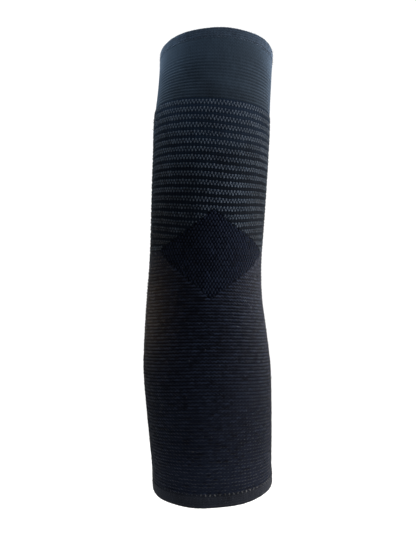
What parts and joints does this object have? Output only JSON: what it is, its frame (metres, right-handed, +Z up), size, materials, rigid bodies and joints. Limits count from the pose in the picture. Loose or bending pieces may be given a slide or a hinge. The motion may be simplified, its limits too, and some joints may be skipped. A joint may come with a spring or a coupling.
{
  "type": "knitted elbow sleeve",
  "caption": "Seamless knitted elbow sleeve, filled out as on an arm: turned welt, fine cuff, wide cross-ribbed upper, dark diamond inset at the elbow, fine-ribbed forearm and stitched hem.",
  "frame": {"origin": "middle of the elbow, on the arm's axis, level with the side corners of the diamond", "axes": "+Z up the arm towards the cuff, -Y out of the front where the diamond is, +X to the right seen from the front"},
  "size_m": [0.0804, 0.0737, 0.2647],
  "materials": {
    "turned_edge": "black elastic yarn, turned double, fuzzy",
    "cuff_knit": "black fine cross rib with a bluish sheen",
    "wide_rib_knit": "black wide cross rib with dark grey loop tips",
    "diamond_knit": "deep black close knit",
    "fine_rib_knit": "black fine cross rib, matt"
  },
  "bodies": {
    "root": {"top_welt": "turned_edge", "upper_cuff": "cuff_knit", "ribbed_panel": "wide_rib_knit", "elbow_diamond": "diamond_knit", "forearm_panel": "fine_rib_knit", "bottom_hem": "turned_edge"}
  },
  "joints": []
}
